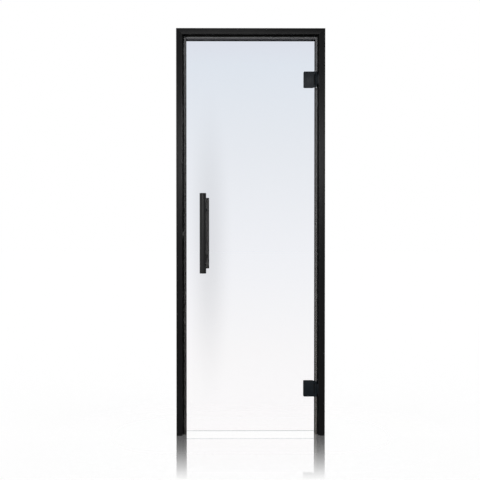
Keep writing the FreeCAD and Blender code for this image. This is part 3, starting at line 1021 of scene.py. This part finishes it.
@dataclass
class PullHandle:
    """The round bar outside, the wider bar inside, and what joins them through the glass."""

    paints: Paints
    eased: float = 0.3 * MM

    def build(self) -> None:
        """Dress both bars and their posts."""
        # The inner bar's paint is partly a painted reflection: paler than the outer bar's
        for node, paint in (("outer_handle_bar", "handle_paint"), ("inner_handle_bar", "grip_paint_painted_reflection")):
            dress(node, self.paints.get(paint), self.eased)
        for place in Place:
            for side in ("outer", "inner"):
                dress(f"{place.value}_{side}_post", self.paints.get("handle_paint"))


@dataclass
class RollerCatch:
    """The sprung roller in the strike jamb, with the screws of its face plate."""

    paints: Paints
    screw: Fastener = Fastener(
        radius=2.6 * MM,
        crown=0.7 * MM,
        depth=0.6 * MM,
        foot_radius=1.4 * MM,
        recess_radius=1.0 * MM,
        recess_depth=0.7 * MM,
    )
    screw_rise: float = 19 * MM
    screw_lift: float = 0.02 * MM

    def build(self) -> None:
        """Dress the catch and set its screws."""
        for node, paint in (
            ("catch_case", "catch_plastic"),
            ("catch_plunger", "catch_plastic"),
            ("catch_roller", "roller_plastic"),
            ("catch_axle", "steel"),
        ):
            dress(node, self.paints.get(paint))
        low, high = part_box("catch_case")
        middle = (low + high) / 2
        bm = bmesh.new()
        for rise in (-self.screw_rise, self.screw_rise):
            at = Vector((high.x + self.screw_lift, middle.y, middle.z + rise))
            self.screw.build(bm, at, Facing.TO_HINGES)
        piece = finish_mesh(bm, "catch_screws", self.paints.get("screw_black"))
        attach(piece, Body.FRAME.value)
        log.info("catch_screws built")


# The studio


@dataclass(frozen=True)
class Softbox:
    """One rectangular studio lamp."""

    name: str
    at: Point
    aim: Point
    wide: float
    tall: float
    watts: float
    reach: Reach = Reach.ALL

    def build(self, linked: bpy.types.Collection) -> None:
        """Hang the lamp and point it; the camera doesn't see it.

        Args:
            linked: What the lamp reaches, or what it leaves unlit.
        """
        data = bpy.data.lights.new(self.name, "AREA")
        data.shape = "RECTANGLE"
        data.size = self.wide
        data.size_y = self.tall
        data.energy = self.watts
        lamp = bpy.data.objects.new(self.name, data)
        lamp.location = self.at
        lamp.rotation_euler = (Vector(self.aim) - Vector(self.at)).to_track_quat("-Z", "Y").to_euler()
        lamp.visible_camera = False
        lamp.visible_transmission = False
        lamp.visible_diffuse, lamp.visible_glossy = self.reach.value
        lamp.light_linking.receiver_collection = linked
        bpy.context.scene.collection.objects.link(lamp)


DOOR_MIDDLE = (-0.35, 0.0, 1.0)
LEFT_FRONT = (-2.75, -2.95, 1.35)

# The key lights matt surfaces, the rim shows in gloss from the same place, and the sheen lies on the frame
GENERAL_LAMPS = (
    Softbox("key", at=LEFT_FRONT, aim=DOOR_MIDDLE, wide=1.2, tall=1.9, watts=340.0, reach=Reach.MATT),
    Softbox("rim", at=LEFT_FRONT, aim=DOOR_MIDDLE, wide=1.2, tall=1.9, watts=45.0, reach=Reach.GLOSS),
    Softbox(
        "sheen",
        at=(-0.45, -5.60, 2.15),
        aim=(-0.35, 0.0, 1.4),
        wide=2.8,
        tall=1.5,
        watts=150.0,
        reach=Reach.GLOSS,
    ),
    Softbox("back", at=(1.9, 3.3, 2.4), aim=DOOR_MIDDLE, wide=1.6, tall=1.6, watts=60.0),
)

# One lamp for each jamb alone, which shows along the inner edge of its lip
EDGE_LAMPS = {
    "strike_jamb": Softbox(
        "strike_jamb_edge",
        at=(2.10, -2.20, 2.02),
        aim=(-0.67, 0.0, 1.45),
        wide=1.4,
        tall=0.5,
        watts=330.0,
        reach=Reach.GLOSS,
    ),
    "hinge_jamb": Softbox(
        "hinge_jamb_edge",
        at=(-2.79, -2.20, 2.02),
        aim=(-0.02, 0.0, 1.45),
        wide=1.4,
        tall=0.5,
        watts=160.0,
        reach=Reach.GLOSS,
    ),
}

# A small lamp for the jambs' seals alone, so that they are paler near the top
SEAL_LAMP = Softbox(
    "seal_light",
    at=(-0.45, -0.50, 1.95),
    aim=(-0.62, 0.0, 1.70),
    wide=0.3,
    tall=0.3,
    watts=11.0,
    reach=Reach.MATT,
)


def seen_rays(tree: bpy.types.NodeTree) -> Socket:
    """Tell the rays that the eye follows from those that carry light to matt surfaces.

    Args:
        tree: The shader's node tree.

    Returns:
        1 for a ray from the camera, through glass or off gloss, and 0 for the others.
    """
    path = tree.nodes.new("ShaderNodeLightPath")
    seen = path.outputs["Is Camera Ray"]
    for ray in ("Is Glossy Ray", "Is Transmission Ray"):
        either = tree.nodes.new("ShaderNodeMath")
        either.operation = "MAXIMUM"
        tree.links.new(seen, either.inputs[0])
        tree.links.new(path.outputs[ray], either.inputs[1])
        seen = either.outputs["Value"]
    return seen


@dataclass
class Studio:
    """The camera, the lamps, the white surround and the pale polished floor."""

    camera_at: Point = (-0.414, -3.790, 0.962)
    pitch_down: float = 0.784
    yaw_right: float = 0.296
    focal_px: float = 808.8
    picture_px: float = 480.0
    sensor: float = 36.0
    surround: float = 0.62
    floor_wide: float = 60.0
    floor_paint: Colour = (0.82, 0.82, 0.82)
    floor_lift: float = 0.494
    mirror_roughness: float = 0.04
    polish: float = 0.893
    polish_reach: float = 0.664
    floor: bpy.types.Object | None = field(default=None, init=False)

    def build(self) -> None:
        """Set up everything that isn't the door."""
        self.build_camera()
        self.build_world()
        self.build_floor()
        self.build_lamps()
        bpy.context.scene.view_settings.view_transform = "Standard"

    def build_camera(self) -> None:
        """The photograph's view: from outside, nearly level with the door's middle."""
        data = bpy.data.cameras.new("camera")
        data.sensor_width = self.sensor
        data.lens = self.focal_px * self.sensor / self.picture_px
        camera = bpy.data.objects.new("camera", data)
        camera.location = self.camera_at
        camera.rotation_euler = (math.radians(90 - self.pitch_down), 0, math.radians(-self.yaw_right))
        bpy.context.scene.collection.objects.link(camera)
        bpy.context.scene.camera = camera

    def build_world(self) -> None:
        """White to the eye, in glass and in gloss, and a plain soft light on everything else."""
        world = bpy.data.worlds.new("studio")
        bpy.context.scene.world = world
        world.use_nodes = True
        tree = world.node_tree
        tree.nodes.clear()
        output = tree.nodes.new("ShaderNodeOutputWorld")
        soft = tree.nodes.new("ShaderNodeBackground")
        soft.inputs["Color"].default_value = WHITE
        soft.inputs["Strength"].default_value = self.surround
        white = tree.nodes.new("ShaderNodeBackground")
        white.inputs["Color"].default_value = WHITE
        mix = tree.nodes.new("ShaderNodeMixShader")
        tree.links.new(seen_rays(tree), mix.inputs[0])
        tree.links.new(soft.outputs["Background"], mix.inputs[1])
        tree.links.new(white.outputs["Background"], mix.inputs[2])
        tree.links.new(mix.outputs["Shader"], output.inputs["Surface"])

    def build_floor(self) -> None:
        """A pale floor, polished round the door's foot, where it mirrors the jambs."""
        bm = bmesh.new()
        bmesh.ops.create_grid(bm, x_segments=1, y_segments=1, size=self.floor_wide / 2)
        self.floor = finish_mesh(bm, "floor", self.floor_material())
        log.info("floor built")

    def floor_material(self) -> bpy.types.Material:
        """White paint that keeps the shadow, with a mirror that fades away from the door.

        Returns:
            The floor's material.
        """
        bench = Bench("pale_floor")
        bench.tree.nodes.remove(bench.shader)
        paint = bench.add("ShaderNodeBsdfDiffuse", Color=(*self.floor_paint, 1.0))
        lift = bench.add("ShaderNodeEmission")
        glow = bench.number("MULTIPLY", seen_rays(bench.tree), self.floor_lift)
        bench.link(glow, lift.inputs["Strength"])
        lit = bench.add("ShaderNodeAddShader")
        bench.link(paint.outputs["BSDF"], lit.inputs[0])
        bench.link(lift.outputs["Emission"], lit.inputs[1])
        mirror = bench.add("ShaderNodeBsdfGlossy", Color=WHITE, Roughness=self.mirror_roughness)
        mix = bench.add("ShaderNodeMixShader")
        bench.link(self.polish_share(bench), mix.inputs[0])
        bench.link(lit.outputs["Shader"], mix.inputs[1])
        bench.link(mirror.outputs["BSDF"], mix.inputs[2])
        bench.link(mix.outputs["Shader"], bench.output.inputs["Surface"])
        return bench.material

    def polish_share(self, bench: Bench) -> Socket:
        """How much of the floor's look is mirror, by the distance from the door's foot.

        Args:
            bench: The floor's material.

        Returns:
            A share that falls from the foot outwards to nothing.
        """
        low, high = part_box("head")
        middle = (low + high) / 2
        half = (high - low) / 2
        reach = bench.vector("SUBTRACT", bench.place, (middle.x, middle.y, 0.0))
        beyond = bench.vector("SUBTRACT", bench.vector("ABSOLUTE", reach), (half.x, half.y, 0.0))
        outside = bench.vector("MAXIMUM", beyond, (0.0, 0.0, 0.0))
        square = bench.measure("DOT_PRODUCT", outside, outside)
        fade = bench.add(
            "ShaderNodeMapRange", From_Max=self.polish_reach**2, To_Min=self.polish, To_Max=0.0
        )
        bench.link(square, fade.inputs["Value"])
        return fade.outputs["Result"]

    def build_lamps(self) -> None:
        """Hang the general lamps, the two for the jambs' edges and the small one for their seals."""
        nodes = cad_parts
        unlit = self.receivers("unlit_by_lamps", (nodes["glass_pane"], self.floor), LampLink.ALL_BUT)
        for lamp in GENERAL_LAMPS:
            lamp.build(unlit)
        for jamb, lamp in EDGE_LAMPS.items():
            lamp.build(self.receivers(f"{jamb}_only", (nodes[jamb],), LampLink.ONLY))
        seals = (nodes["strike_seal"], nodes["hinge_seal"])
        SEAL_LAMP.build(self.receivers("jamb_seals_only", seals, LampLink.ONLY))

    @staticmethod
    def receivers(
        name: str, members: tuple[bpy.types.Object, ...], link: LampLink
    ) -> bpy.types.Collection:
        """What a lamp reaches, or what it leaves to the even light of the surround.

        Args:
            name: The collection's name.
            members: The objects in it.
            link: Whether the lamp lights these alone, or all the others.

        Returns:
            The collection for a lamp's light linking.
        """
        linked = bpy.data.collections.new(name)
        for member in members:
            linked.objects.link(member)
        for entry in linked.collection_objects:
            entry.light_linking.link_state = link.value
        return linked


def main() -> None:
    """Build the studio and every sub-assembly in order."""
    logging.basicConfig(level=logging.INFO, format="%(name)s: %(message)s")
    paints = Paints()
    Studio().build()
    DoorFrame(paints).build()
    GlassLeaf().build()
    for place in Place:
        ClampHinge(paints, place).build()
    PullHandle(paints).build()
    RollerCatch(paints).build()


if __name__ == "__main__":
    main()
